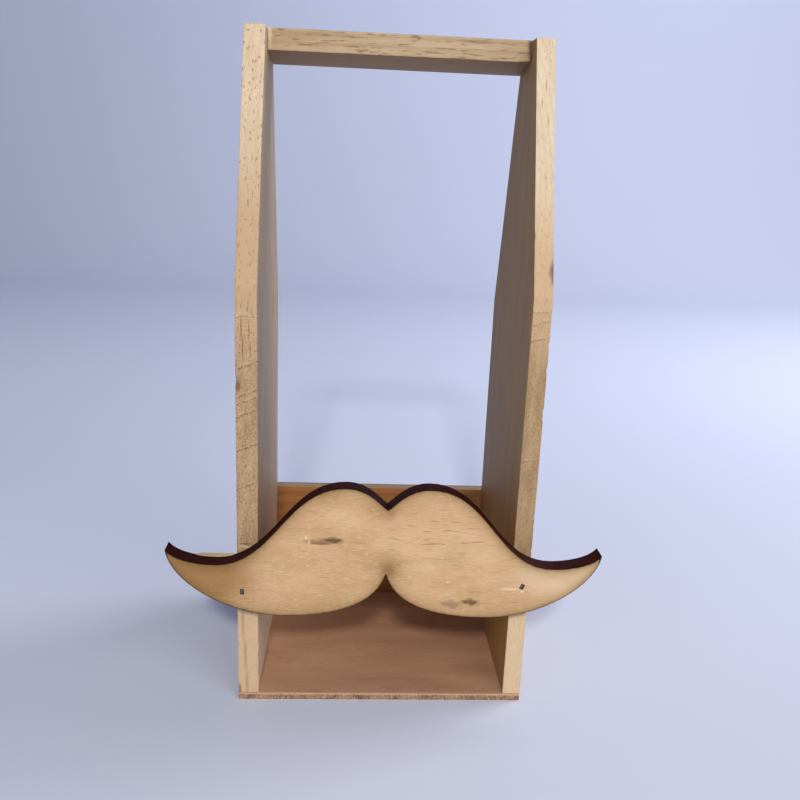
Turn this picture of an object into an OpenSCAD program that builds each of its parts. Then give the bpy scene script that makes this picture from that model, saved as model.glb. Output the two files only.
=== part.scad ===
// Open wooden display stand with a moustache-shaped front panel.
// Two side boards stand on a thin base board. A rail joins their tops, a low
// board closes the back, and a cut-out plywood panel is nailed across the front.
// Millimetres, +Z up, +X to the right of someone facing the moustache, +Y to the back.
// The origin is the middle of the base board's underside.

/* [Frame] */
// Width over both side boards
frame_w = 130; // [115:1:160]
// Height from the floor to the tops of the side boards
frame_h = 293; // [275:1:330]
// Thickness of the base board
base_t = 3.5; // [3:0.5:6]

/* [Side boards] */
// Thickness of the left side board
left_side_t = 9.2; // [7:0.2:12]
// Thickness of the right side board
right_side_t = 8.2; // [7:0.2:12]
// Depth of the side boards at the base
side_d = 97.5; // [90:0.5:120]
// Depth of the side boards at the top
top_d = 30; // [28:0.5:36]
// How far the top front corner stands behind the front edge
top_setback = 35.5; // [28:0.5:40]
// Height above the floor where the front edge turns back
front_bend_z = 188; // [150:1:220]
// Height above the floor where the rear edge turns forward
rear_bend_z = 174; // [150:1:220]

/* [Top rail] */
// Thickness of the rail
rail_t = 9.2; // [7:0.2:11]
// How far the rail's lower front edge stands behind the top front corners
rail_setback = 7.5; // [4:0.5:10]
// Height of the rail's lower front edge below the tops of the side boards
rail_drop = 9.2; // [9:0.1:14]
// Tilt of the rail, its rear edge lower than its front edge, in degrees
rail_tilt = 6; // [0:1:10]

/* [Back board] */
// Thickness of the back board
back_t = 6.5; // [5:0.5:9]
// Height of the back board's upper edge above the floor
back_top_z = 67.5; // [55:0.5:90]

/* [Moustache panel] */
// Thickness of the plywood
moustache_t = 8.5; // [6:0.5:10]
// Width of the panel from tip to tip
moustache_w = 188.5; // [176:0.5:210]
// Height of the panel's lowest points above the floor
moustache_z = 47.5; // [35:0.5:60]

/* [Brads] */
// Length of each brad
brad_len = 20; // [16:1:24]
// Width of the brad's shank
brad_w = 1.6; // [1:0.1:2]
// Thickness of the shank and head
brad_t = 1.6; // [1:0.1:2]
// Width of the head
brad_head_w = 2.4; // [2:0.1:3.2]
// Thickness of the head
brad_head_h = 0.8; // [0.5:0.1:1]
// How deep the head is driven below the surface
brad_recess = 0.4; // [0.2:0.1:0.8]

/* [Hidden] */

// Places shared by the boards
base_d = side_d + back_t;
front_y = -base_d / 2;
side_rear_y = front_y + side_d;
back_y = base_d / 2;
left_x = -frame_w / 2;
right_x = frame_w / 2;
left_inner_x = left_x + left_side_t;
right_inner_x = right_x - right_side_t;
top_front_y = front_y + top_setback;
top_rear_y = top_front_y + top_d;

// The plank that the rail is trimmed from
rail_front_y = top_front_y + rail_setback;
rail_low_z = frame_h - rail_drop;
rail_plank_d = top_d;

// Moustache outline: control points of its right half, drawn 190 wide and 60 high
moustache_scale = moustache_w / 190;
curve_steps = 14;
notch_top = [0, 50.5];
crest = [18, 60];
trough = [74, 24];
tip = [95, 31];
belly = [44.5, 0];
notch_bottom = [0, 20.5];
HALF_OUTLINE = [
    [notch_top, [2.5, 52], [8, 60], crest],
    [crest, [44, 60], [48.5, 24], trough],
    [trough, [80, 24], [91.5, 25.5], tip],
    [tip, [93.5, 16], [70, 0], belly],
    [belly, [29.5, 0], [5, 2.5], notch_bottom]
];

// Moustache brads: [x, z, turn of the head about the shank]
moustache_brads_at = [
    [left_x + 3.3, moustache_z + 11.3, 90],
    [right_x - 5, moustache_z + 15.3, 65]
];

// The other brads, measured along the boards that they join
rail_brad_steps = [6, 19];
back_brad_zs = [base_t + 16, back_top_z - 14];
side_brad_ys = [front_y + 15, side_rear_y - 22];
back_brad_xs = [-frame_w / 4, frame_w / 4];

brad_colour = "dimgray";

// Point at t on a cubic Bezier curve with the control points c
function bezier(c, t) =
    pow(1 - t, 3) * c[0] + 3 * pow(1 - t, 2) * t * c[1] + 3 * (1 - t) * t * t * c[2] + pow(t, 3) * c[3];

// Points along the curve c, leaving out its last one, where the next curve starts
function curve_points(c) = [for (i = [0:curve_steps - 1]) bezier(c, i / curve_steps)];

// A list of points in reverse order, mirrored to the other side of the Y axis
function mirrored_back(points) = [for (i = [len(points) - 1:-1:0]) [-points[i].x, points[i].y]];

// Side board profile, drawn with the board's depth along X and its height along Y
module side_profile() {
    polygon([
        [front_y, base_t],
        [front_y, front_bend_z],
        [top_front_y, frame_h],
        [top_rear_y, frame_h],
        [side_rear_y, rear_bend_z],
        [side_rear_y, base_t]
    ]);
}

// The side profile standing up, extruded from x0 to x1
module profile_between(x0, x1) {
    translate([x0, 0, 0]) rotate([90, 0, 90]) linear_extrude(height = x1 - x0) side_profile();
}

// Moustache outline, symmetric about the Y axis
module moustache_outline() {
    right_half = [for (c = HALF_OUTLINE) each curve_points(c)];
    past_notch = [for (i = [1:len(right_half) - 1]) right_half[i]];
    scale(moustache_scale) polygon(concat(right_half, [notch_bottom], mirrored_back(past_notch)));
}

// T-headed brad driven down -Z through z = 0, its head brad_recess below the surface.
// open_to above 0 carries the head's width up to that height, which makes the hole's shape.
module brad_shape(open_to) {
    head_z = open_to > 0 ? open_to : -brad_recess;
    neck_z = -brad_recess - brad_head_h;
    tip_z = -brad_recess - brad_len;
    point_z = tip_z + brad_w;
    rotate([90, 0, 0]) linear_extrude(height = brad_t, center = true) polygon([
        [-brad_head_w / 2, head_z],
        [-brad_head_w / 2, neck_z],
        [-brad_w / 2, neck_z],
        [-brad_w / 2, point_z],
        [0, tip_z],
        [brad_w / 2, point_z],
        [brad_w / 2, neck_z],
        [brad_head_w / 2, neck_z],
        [brad_head_w / 2, head_z]
    ]);
}

// Each group below draws brads, or the holes for them when open_to is above 0
module moustache_brad_group(open_to = 0) {
    for (b = moustache_brads_at)
        translate([b[0], front_y - moustache_t, b[1]])
            rotate([90, 0, 0]) rotate([0, 0, b[2]]) brad_shape(open_to);
}

// Rail brads enter a side board's outer face at x, in the middle of the rail's thickness
module rail_brad_group(x, open_to = 0) {
    toward_middle = x < 0 ? -90 : 90;
    for (step = rail_brad_steps)
        translate([x, rail_front_y, rail_low_z])
            rotate([-rail_tilt, 0, 0]) translate([0, step, rail_t / 2])
                rotate([0, toward_middle, 0]) brad_shape(open_to);
}

// Back brads go through the back board into the rear edge of the side board centred on x
module back_brad_group(x, open_to = 0) {
    for (z = back_brad_zs)
        translate([x, back_y, z]) rotate([-90, 0, 0]) rotate([0, 0, 90]) brad_shape(open_to);
}

// Base brads go up through the base board into the board above it
module base_brad_group(spots, turn, open_to = 0) {
    for (s = spots) translate([s.x, s.y, 0]) rotate([180, 0, turn]) brad_shape(open_to);
}

left_mid_x = (left_x + left_inner_x) / 2;
right_mid_x = (right_x + right_inner_x) / 2;
left_base_spots = [for (y = side_brad_ys) [left_mid_x, y]];
right_base_spots = [for (y = side_brad_ys) [right_mid_x, y]];
back_base_spots = [for (x = back_brad_xs) [x, (side_rear_y + back_y) / 2]];

// Holes reach this far past the surface that they open on
hole_past = 1;

module left_side() {
    color("burlywood") difference() {
        profile_between(left_x, left_inner_x);
        moustache_brad_group(hole_past);
        rail_brad_group(left_x, hole_past);
        back_brad_group(left_mid_x, hole_past);
        base_brad_group(left_base_spots, 90, hole_past);
    }
}

module right_side() {
    color("burlywood") difference() {
        profile_between(right_inner_x, right_x);
        moustache_brad_group(hole_past);
        rail_brad_group(right_x, hole_past);
        back_brad_group(right_mid_x, hole_past);
        base_brad_group(right_base_spots, 90, hole_past);
    }
}

// The rail is a tilted plank, planed flush with the tops and rear edges of the side boards
module top_rail() {
    color("tan") difference() {
        intersection() {
            translate([left_inner_x, rail_front_y, rail_low_z]) rotate([-rail_tilt, 0, 0])
                cube([right_inner_x - left_inner_x, rail_plank_d, rail_t]);
            profile_between(left_x, right_x);
        }
        rail_brad_group(left_x, hole_past);
        rail_brad_group(right_x, hole_past);
    }
}

module base_board() {
    color("rosybrown") difference() {
        translate([left_x, front_y, 0]) cube([frame_w, base_d, base_t]);
        base_brad_group(left_base_spots, 90, hole_past);
        base_brad_group(right_base_spots, 90, hole_past);
        base_brad_group(back_base_spots, 0, hole_past);
    }
}

module back_board() {
    color("peru") difference() {
        translate([left_x, side_rear_y, base_t]) cube([frame_w, back_t, back_top_z - base_t]);
        back_brad_group(left_mid_x, hole_past);
        back_brad_group(right_mid_x, hole_past);
        base_brad_group(back_base_spots, 0, hole_past);
    }
}

module moustache_panel() {
    color("wheat") difference() {
        translate([0, front_y, moustache_z]) rotate([90, 0, 0])
            linear_extrude(height = moustache_t) moustache_outline();
        moustache_brad_group(hole_past);
    }
}

module moustache_brads() {
    color(brad_colour) moustache_brad_group();
}

module left_rail_brads() {
    color(brad_colour) rail_brad_group(left_x);
}

module right_rail_brads() {
    color(brad_colour) rail_brad_group(right_x);
}

module left_back_brads() {
    color(brad_colour) back_brad_group(left_mid_x);
}

module right_back_brads() {
    color(brad_colour) back_brad_group(right_mid_x);
}

module left_base_brads() {
    color(brad_colour) base_brad_group(left_base_spots, 90);
}

module right_base_brads() {
    color(brad_colour) base_brad_group(right_base_spots, 90);
}

module back_base_brads() {
    color(brad_colour) base_brad_group(back_base_spots, 0);
}

left_side();
right_side();
top_rail();
base_board();
back_board();
moustache_panel();
moustache_brads();
left_rail_brads();
right_rail_brads();
left_back_brads();
right_back_brads();
left_base_brads();
right_base_brads();
back_base_brads();
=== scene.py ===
"""Looks of an open pine display stand with a moustache-shaped plywood front.

Two pine side boards stand on a thin base board, a rail joins their tops, a low board closes
the back, and a laser-cut plywood moustache is nailed across the front. Every piece is made
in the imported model's own frame, in metres, with +X to the right and +Y to the back.
"""

import logging
import math
from collections.abc import Callable, Iterator
from contextlib import contextmanager
from dataclasses import dataclass
from enum import Enum

import bmesh
import bpy
import numpy as np
from mathutils import Matrix, Vector, noise


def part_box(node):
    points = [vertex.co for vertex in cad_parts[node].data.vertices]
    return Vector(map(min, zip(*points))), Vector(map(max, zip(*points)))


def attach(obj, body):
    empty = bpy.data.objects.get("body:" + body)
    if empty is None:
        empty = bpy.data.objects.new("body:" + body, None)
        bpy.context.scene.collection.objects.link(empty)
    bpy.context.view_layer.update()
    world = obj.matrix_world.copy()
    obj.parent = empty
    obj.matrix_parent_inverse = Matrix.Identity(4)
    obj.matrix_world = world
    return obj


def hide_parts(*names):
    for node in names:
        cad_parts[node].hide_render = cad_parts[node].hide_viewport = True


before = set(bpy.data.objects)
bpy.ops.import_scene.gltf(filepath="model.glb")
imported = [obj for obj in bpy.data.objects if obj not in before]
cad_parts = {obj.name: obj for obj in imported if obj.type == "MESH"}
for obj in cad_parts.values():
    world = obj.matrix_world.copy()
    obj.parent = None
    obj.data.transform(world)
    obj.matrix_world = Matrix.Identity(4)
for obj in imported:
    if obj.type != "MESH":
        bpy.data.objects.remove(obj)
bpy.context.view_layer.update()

LOG = logging.getLogger("display_stand")
MM = 0.001
TINY = 1e-6
RAIL_TILT = math.radians(6)
POCKET_DEPTH = 1.2 * MM

Place = tuple[float, float, float]
Colour = tuple[float, float, float, float]
Socket = bpy.types.NodeSocket
Fed = dict[str | int, object]


def tint(code: str) -> Colour:
    """Turns a web colour into the linear colour that a shader takes.

    Args:
        code: Six hexadecimal digits.

    Returns:
        Linear red, green and blue, and an alpha of 1.
    """
    shares = [int(code[i:i + 2], 16) / 255 for i in (0, 2, 4)]
    linear = [s / 12.92 if s <= 0.04045 else ((s + 0.055) / 1.055) ** 2.4 for s in shares]
    return (linear[0], linear[1], linear[2], 1.0)


def ease(value: float, start: float, end: float) -> float:
    """Rises smoothly from 0 at start to 1 at end, where start may be the larger."""
    share = min(max((value - start) / (end - start), 0.0), 1.0)
    return share * share * (3 - 2 * share)


class Grain(Enum):
    """The way that a board's fibres run."""

    ALONG_X = "XYZ"
    ALONG_Y = "YZX"
    ALONG_Z = "ZXY"


# ---- Finishes ----


class Graph:
    """Builds the nodes of one procedural material around a Principled shader."""

    def __init__(self, name: str, roughness: float) -> None:
        """Starts a material.

        Args:
            name: Name of the material.
            roughness: Roughness where nothing is linked to it.
        """
        self.material = bpy.data.materials.new(name)
        self.material.use_nodes = True
        self.tree = self.material.node_tree
        self.tree.nodes.clear()
        self.shader = self.node("BsdfPrincipled", {"Roughness": roughness})
        end = self.node("OutputMaterial")
        self.tree.links.new(self.shader.outputs[0], end.inputs["Surface"])
        self.where = self.node("TexCoord").outputs["Object"]

    def node(self, kind: str, fed: Fed | None = None, **settings: object) -> bpy.types.Node:
        """Adds a node of that kind with those settings, and feeds its named inputs."""
        made = self.tree.nodes.new("ShaderNode" + kind)
        for key, value in settings.items():
            setattr(made, key, value)
        for key, value in (fed or {}).items():
            self.feed(made.inputs[key], value)
        return made

    def feed(self, socket: Socket, value: object) -> None:
        """Links a socket into another one, or gives it a number, a vector or a web colour."""
        if isinstance(value, bpy.types.NodeSocket):
            self.tree.links.new(value, socket)
        else:
            socket.default_value = tint(value) if isinstance(value, str) else value

    def sum(self, operation: str, a: object, b: object = 0.0, clamp: bool = False) -> Socket:
        """Does one arithmetic step on two numbers or sockets."""
        return self.node("Math", {0: a, 1: b}, operation=operation, use_clamp=clamp).outputs[0]

    def times(self, *shares: object) -> Socket:
        """Multiplies two or more shares."""
        product = shares[0]
        for share in shares[1:]:
            product = self.sum("MULTIPLY", product, share)
        return product

    def swing(self, value: Socket, reach: float) -> Socket:
        """Turns noise from 0 to 1 into a wander from -reach to reach."""
        return self.times(self.sum("SUBTRACT", value, 0.5), reach * 2)

    def length(self, vector: Socket) -> Socket:
        """Gives the length of a vector."""
        return self.node("VectorMath", {0: vector}, operation="LENGTH").outputs["Value"]

    def axis(self, name: str) -> Socket:
        """Gives one coordinate of the object, in millimetres."""
        parts = self.node("SeparateXYZ", {0: self.where})
        return self.times(parts.outputs[name], 1 / MM)

    def grained(self, grain: Grain, stretch: float, shift: Place = (0, 0, 0)) -> Socket:
        """Gives coordinates in millimetres whose first axis runs with the fibres.

        Args:
            grain: The way that the fibres run.
            stretch: How many times a pattern is longer with the fibres than across them.
            shift: Millimetres added along, and on the two axes across.

        Returns:
            A vector socket.
        """
        parts = self.node("SeparateXYZ", {0: self.where})
        turned = self.node("CombineXYZ", {i: parts.outputs[c] for i, c in enumerate(grain.value)})
        scale = (1 / MM / stretch, 1 / MM, 1 / MM)
        fed = {"Vector": turned.outputs[0], "Scale": scale, "Location": shift}
        return self.node("Mapping", fed, vector_type="POINT").outputs[0]

    def cloud(self, vector: Socket, size: float, detail: float = 3, bend: float = 0) -> Socket:
        """Gives soft noise from 0 to 1 whose blotches are size millimetres across."""
        fed = {"Vector": vector, "Scale": 1 / size, "Detail": detail, "Distortion": bend}
        return self.node("TexNoise", fed).outputs["Fac"]

    def fleece(self, grain: Grain, stretch: float, size: float, detail: float = 3,
               shift: Place = (0, 0, 0), bend: float = 0) -> Socket:
        """Gives soft noise that is stretched along the fibres."""
        return self.cloud(self.grained(grain, stretch, shift), size, detail, bend)

    def step(self, value: Socket, low: float, high: float, kind: str = "SMOOTHSTEP") -> Socket:
        """Rises smoothly from 0 where value is low to 1 where it is high."""
        fed = {"Value": value, "From Min": low, "From Max": high}
        return self.node("MapRange", fed, interpolation_type=kind, clamp=True).outputs["Result"]

    def spread(self, value: Socket, low: float, high: float) -> Socket:
        """Rises evenly from 0 where value is low to 1 where it is high."""
        return self.step(value, low, high, "LINEAR")

    def varied(self, share: Socket, low: float, high: float) -> Socket:
        """Turns a share from 0 to 1 into a number from low to high."""
        fed = {"Value": share, "To Min": low, "To Max": high}
        return self.node("MapRange", fed, clamp=True).outputs["Result"]

    def near(self, value: Socket, centre: float, reach: float) -> Socket:
        """Falls from 1 where value is at centre to 0 where it is reach away."""
        return self.step(self.sum("ABSOLUTE", self.sum("SUBTRACT", value, centre)), reach, reach * 0.3)

    def mix(self, share: object, a: object, b: object, blend: str = "MIX") -> Socket:
        """Mixes two colours by a share from 0 to 1."""
        return self.node("Mix", {0: share, 6: a, 7: b}, data_type="RGBA", blend_type=blend).outputs[2]

    def over(self, colour: object, code: str, *shares: object) -> Socket:
        """Lays a web colour over another colour, by the product of the shares."""
        return self.mix(self.times(*shares), colour, code)

    def fibred(self, colour: Socket, fibre: Socket, deep: str, most: float,
               depth: float = 0.6) -> Socket:
        """Darkens a colour along its fibres, by a share of most where they are strongest."""
        share = self.varied(self.spread(fibre, 0.3, 0.7), 0.0, most)
        return self.mix(share, colour, self.mix(depth, colour, deep, "MULTIPLY"))

    def late_wood(self, grain: Grain, pith: Place, gap: float) -> Socket:
        """Gives the dark late wood of growth rings round the pith.

        Args:
            grain: The way that the fibres run.
            pith: Millimetres that bring the pith to the origin.
            gap: Distance between rings, in millimetres.

        Returns:
            A share that rises slowly through each ring and drops at its end.
        """
        vector = self.grained(grain, 14, pith)
        flat = self.node("VectorMath", {0: vector, 1: (0, 1, 1)}, operation="MULTIPLY")
        count = self.sum("DIVIDE", self.length(flat.outputs[0]), gap)
        rings = self.sum("FRACT", self.sum("ADD", count, self.swing(self.cloud(vector, 26, 2), 0.8)))
        return self.times(self.step(rings, 0.35, 0.92), self.step(rings, 1.0, 0.94))

    def patch(self, centre: Place, reach: Place, ragged: float = 0.5) -> Socket:
        """Gives a soft ragged spot that is 1 at its centre and 0 at its rim.

        Args:
            centre: Middle of the spot, in millimetres.
            reach: Half its size on each axis, in millimetres.
            ragged: How much noise breaks its rim.

        Returns:
            A number socket.
        """
        place, size = (tuple(v * MM for v in triple) for triple in (centre, reach))
        fed = {"Vector": self.where, "Location": place, "Scale": size}
        spot = self.node("Mapping", fed, vector_type="TEXTURE").outputs[0]
        far = self.sum("ADD", self.length(spot), self.swing(self.cloud(spot, 0.6, 3), ragged))
        return self.step(far, 1.0, 0.35)

    def marked(self, colour: Socket, marks: tuple["Mark", ...]) -> Socket:
        """Lays knots, stains, streaks and patches of painted light or shade over a colour."""
        for mark in marks:
            spot = self.patch(mark.centre, mark.reach, mark.ragged)
            colour = self.over(colour, mark.colour, spot, mark.strength)
        return colour

    def finish(self, colour: Socket, relief: list[tuple[Socket, float]],
               roughness: Socket | None = None) -> bpy.types.Material:
        """Links the colour, the relief and the roughness into the shader.

        Args:
            colour: The base colour.
            relief: Height patterns from 0 to 1, each with its depth in millimetres.
            roughness: Roughness pattern, or None to keep it even.

        Returns:
            The finished material.
        """
        self.feed(self.shader.inputs["Base Color"], colour)
        if roughness is not None:
            self.feed(self.shader.inputs["Roughness"], roughness)
        normal = None
        for height, depth in relief:
            fed = {"Height": height, "Distance": depth * MM}
            if normal is not None:
                fed["Normal"] = normal
            normal = self.node("Bump", fed).outputs["Normal"]
        self.feed(self.shader.inputs["Normal"], normal)
        return self.material


@dataclass(frozen=True)
class Mark:
    """One knot, stain or streak in the wood, or a patch of painted light or shade, with its sizes in
    millimetres.
    """

    centre: Place
    reach: Place
    colour: str
    strength: float = 0.8
    ragged: float = 0.5


@dataclass(frozen=True)
class PlanedPine:
    """Smooth pine with growth rings, fibres and short resin dashes."""

    name: str
    grain: Grain
    pale: str
    deep: str
    pith: Place
    ring_gap: float
    ring_strength: float
    dashes: float = 0.0
    dash_size: float = 1.0
    dash_colour: str = "8a6446"
    blotches: float = 0.3
    fibres: float = 0.5
    relief: float = 0.12
    # low_shade darkens the face from low_from down to low_to: partly the wood's tone, partly painted
    # shade.
    low_shade: str = "c9a47c"
    low_from: float = 0.0
    low_to: float = 0.0
    marks: tuple[Mark, ...] = ()

    def material(self) -> bpy.types.Material:
        """Builds the material."""
        g = Graph(self.name, 0.6)
        late = g.late_wood(self.grain, self.pith, self.ring_gap)
        fibre = g.fleece(self.grain, 22, 0.32)
        broad = g.fleece(self.grain, 5, 7, 2, (3, 8, 1))
        colour = g.over(self.pale, self.deep, late, self.ring_strength)
        colour = g.over(colour, self.deep, g.spread(broad, 0.4, 0.75), self.blotches)
        colour = g.fibred(colour, fibre, self.deep, self.fibres, 0.5)
        # Darker from low_from down to low_to: partly the wood's tone, partly painted shade of light
        # falling from above.
        if self.low_to:
            toward_low = g.step(g.axis("Z"), self.low_from, self.low_to)
            colour = g.mix(toward_low, colour, g.over(colour, self.low_shade, 0.75))
        if self.dashes:
            spots = g.fleece(self.grain, 6, self.dash_size, 1, (11, 2, 7))
            colour = g.over(colour, self.dash_colour, g.step(spots, 0.6, 0.7), self.dashes)
        colour = g.marked(colour, self.marks)
        relief = [(fibre, self.relief), (late, self.relief * 0.4)]
        return g.finish(colour, relief, g.varied(fibre, 0.5, 0.72))


@dataclass(frozen=True)
class SawnPine:
    """Rough-sawn pine: slanted saw lines, torn specks, and a fuzzy ridge at its upper end."""

    name: str
    grain: Grain
    pale: str
    deep: str
    pith: Place
    ridge: float
    middle: float
    saw_lines: tuple[float, ...]
    smooth_shade: str
    saw_strength: float
    smooth_below: float = 50
    slant: float = 0.42
    speck: float = 0.6
    upper_shade: str = "d3b188"
    marks: tuple[Mark, ...] = ()

    def material(self) -> bpy.types.Material:
        """Builds the material."""
        g = Graph(self.name, 0.8)
        fibre = g.fleece(self.grain, 9, 0.36)
        streak = g.fleece(self.grain, 9, 1.3, 2, (2, 6, 3))
        torn = g.fleece(self.grain, 1.5, 0.7, 3, (5, 1, 9))
        broad = g.fleece(self.grain, 4, 4.5, 2, (1, 4, 2))
        late = g.late_wood(self.grain, self.pith, 2.4)
        height = g.axis("Z")
        rough = g.step(height, self.smooth_below - 8, self.smooth_below + 8)
        colour = g.over(self.pale, self.deep, g.spread(broad, 0.35, 0.7))
        colour = g.over(colour, self.deep, late, 0.3)
        colour = g.over(colour, self.deep, g.step(streak, 0.52, 0.68), 0.4)
        colour = g.over(colour, self.upper_shade, g.step(height, self.ridge - 28, self.ridge), 0.7)
        # Below smooth_below the edge turns lighter, towards smooth_shade, and the specks and saw lines
        # fade out.
        colour = g.mix(g.sum("SUBTRACT", 1.0, rough), colour, g.over(colour, self.smooth_shade, 0.9))
        dark = g.times(g.step(torn, 0.56, 0.7), self.speck, rough)
        colour = g.mix(dark, colour, g.mix(1.0, colour, "a5805a", "MULTIPLY"))
        colour = g.over(colour, "e2c8a2", g.step(torn, 0.46, 0.34), self.speck, rough, 0.75)
        kerf, lint = self.saw_marks(g, height, g.times(rough, self.saw_strength))
        lint = g.times(lint, g.step(torn, 0.4, 0.55))
        colour = g.over(colour, "e6cda4", lint)
        colour = g.over(colour, "80603f", kerf)
        fuzz = g.times(g.near(height, self.ridge, 0.8), g.step(torn, 0.36, 0.52))
        colour = g.over(colour, "f2dcb4", fuzz, 0.8)
        colour = g.fibred(colour, fibre, self.deep, 0.35)
        colour = g.marked(colour, self.marks)
        relief = [(torn, 0.4), (fibre, 0.2), (g.sum("SUBTRACT", lint, kerf), 0.2), (fuzz, 0.3)]
        return g.finish(colour, relief, g.varied(torn, 0.7, 0.92))

    def saw_marks(self, g: Graph, height: Socket, rough: Socket) -> tuple[Socket, Socket]:
        """Draws the saw lines, each a dark kerf with lint above it.

        Args:
            g: The material's nodes.
            height: Height above the floor, in millimetres.
            rough: Share of the rough-sawn part.

        Returns:
            The kerfs and the lint, as shares.
        """
        across = g.times(g.sum("SUBTRACT", g.axis("X"), self.middle), self.slant)
        wander = g.swing(g.fleece(self.grain, 1, 3.5, 2), 1.1)
        level = g.sum("ADD", g.sum("SUBTRACT", height, across), wander)
        broken = g.step(g.fleece(self.grain, 1, 1.6, 2, (8, 8, 8)), 0.36, 0.52)
        kerf: Socket | float = 0.0
        lint: Socket | float = 0.0
        for line in self.saw_lines:
            kerf = g.sum("MAXIMUM", kerf, g.near(level, line, 0.5))
            lint = g.sum("MAXIMUM", lint, g.near(level, line + 0.8, 0.6))
        return g.times(kerf, broken, rough), g.times(lint, broken, rough)


@dataclass(frozen=True)
class Veneer:
    """Pale rotary-cut veneer, toasted along the cut by the heat of the laser."""

    name: str
    face: float
    grain: Grain = Grain.ALONG_X
    pale: str = "e0bd8e"
    deep: str = "c7a16e"
    blush: str = "d8ac83"
    toast: str = "7c5a20"
    char: str = "2c1808"
    marks: tuple[Mark, ...] = ()

    def material(self) -> bpy.types.Material:
        """Builds the material."""
        g = Graph(self.name, 0.55)
        fibre = g.fleece(self.grain, 16, 0.34)
        broad = g.fleece(self.grain, 2.6, 9, 4)
        warm = g.fleece(self.grain, 2.2, 11, 2, (40, 9, 3))
        fleck = g.fleece(self.grain, 5, 0.55, 2, (7, 5, 1))
        line = g.fleece(self.grain, 13, 0.75, 2, (21, 13, 8), 0.4)
        colour = g.over(self.pale, self.deep, g.spread(broad, 0.35, 0.68))
        colour = g.over(colour, self.blush, g.spread(warm, 0.4, 0.7), 0.6)
        lively = g.varied(g.spread(broad, 0.35, 0.65), 0.25, 0.7)
        colour = g.over(colour, "f0d6a8", g.step(fleck, 0.58, 0.7), lively)
        colour = g.over(colour, "b08a5c", g.step(fleck, 0.42, 0.3), 0.3)
        dark_line = g.step(line, 0.63, 0.69)
        ripple = g.patch((27, self.face, 86), (30, 12, 13), 0.4)
        colour = g.over(colour, "8e6640", dark_line, ripple, 0.75)
        colour = g.over(colour, "a87e52", dark_line, 0.3)
        colour = g.fibred(colour, fibre, self.deep, 0.4)
        colour = g.marked(colour, self.marks)
        burn = g.node("Attribute", attribute_name="toast").outputs["Fac"]
        patchy = g.varied(g.fleece(self.grain, 1.5, 2.2), 0.75, 1.25)
        colour = g.over(colour, self.toast, g.sum("MULTIPLY", burn, patchy, clamp=True))
        colour = g.over(colour, self.char, g.step(burn, 0.72, 1.0))
        relief = [(fibre, 0.1), (fleck, 0.06), (dark_line, 0.06)]
        return g.finish(colour, relief, g.varied(fibre, 0.48, 0.66))


@dataclass(frozen=True)
class CharredPly:
    """The laser-burnt edge of plywood: its plies, and fine lines across them."""

    name: str = "charred ply edge"
    char: str = "380a02"
    soot: str = "100301"
    core: str = "451708"
    front: float = -60.5
    ply_gap: float = 1.4

    def material(self) -> bpy.types.Material:
        """Builds the material."""
        g = Graph(self.name, 0.5)
        g.shader.inputs["Specular IOR Level"].default_value = 0.08
        stripes = g.fleece(Grain.ALONG_Y, 14, 0.4, 2)
        blotch = g.fleece(Grain.ALONG_Y, 2, 3.2, 3, (3, 3, 3))
        behind = g.sum("ADD", g.axis("Y"), -self.front)
        plies = g.sum("FRACT", g.sum("DIVIDE", behind, self.ply_gap * 2))
        core = g.times(g.step(plies, 0.46, 0.54), g.step(plies, 1.0, 0.92))
        colour = g.over(self.char, self.soot, g.spread(blotch, 0.35, 0.7))
        colour = g.over(colour, self.core, core, 0.35)
        colour = g.over(colour, self.core, g.step(stripes, 0.5, 0.75), 0.5)
        return g.finish(colour, [(stripes, 0.12), (core, 0.05)], g.varied(stripes, 0.55, 0.75))


@dataclass(frozen=True)
class ThinPly:
    """The thin base board: a smooth brown face and a ragged cut edge."""

    name: str
    pale: str
    deep: str
    edge: bool = False

    def material(self) -> bpy.types.Material:
        """Builds the material."""
        g = Graph(self.name, 0.62)
        if self.edge:
            return self.cut_edge(g)
        fibre = g.fleece(Grain.ALONG_X, 16, 0.35)
        broad = g.fleece(Grain.ALONG_X, 4, 12)
        pore = g.fleece(Grain.ALONG_X, 4, 0.8, 1, (2, 7, 4))
        colour = g.over(self.pale, self.deep, g.spread(broad, 0.3, 0.7))
        colour = g.fibred(colour, fibre, self.deep, 0.4)
        colour = g.over(colour, "6d4a36", g.step(pore, 0.68, 0.78), 0.45)
        return g.finish(colour, [(fibre, 0.06), (pore, 0.04)], g.varied(fibre, 0.5, 0.68))

    def cut_edge(self, g: Graph) -> bpy.types.Material:
        """Builds the cut edge: upright ticks of torn fibre under a thin pale skin.

        Args:
            g: The material's nodes.

        Returns:
            The material.
        """
        tick = g.fleece(Grain.ALONG_Z, 3, 0.55)
        broad = g.fleece(Grain.ALONG_Z, 1, 6, 2, (4, 1, 2))
        torn = g.varied(g.step(broad, 0.42, 0.58), 0.2, 0.9)
        height = g.sum("ADD", g.axis("Z"), g.times(g.fleece(Grain.ALONG_Z, 1, 1.4, 2), 1.2))
        colour = g.over(self.pale, self.deep, g.spread(broad, 0.35, 0.7))
        colour = g.over(colour, "61422f", g.step(tick, 0.52, 0.66), torn)
        colour = g.over(colour, "e2c09c", g.step(tick, 0.44, 0.34), 0.6)
        colour = g.over(colour, "d6ab8e", g.step(height, 2.9, 3.4), 0.75)
        return g.finish(colour, [(tick, 0.4), (broad, 0.1)], g.varied(tick, 0.7, 0.9))


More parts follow.
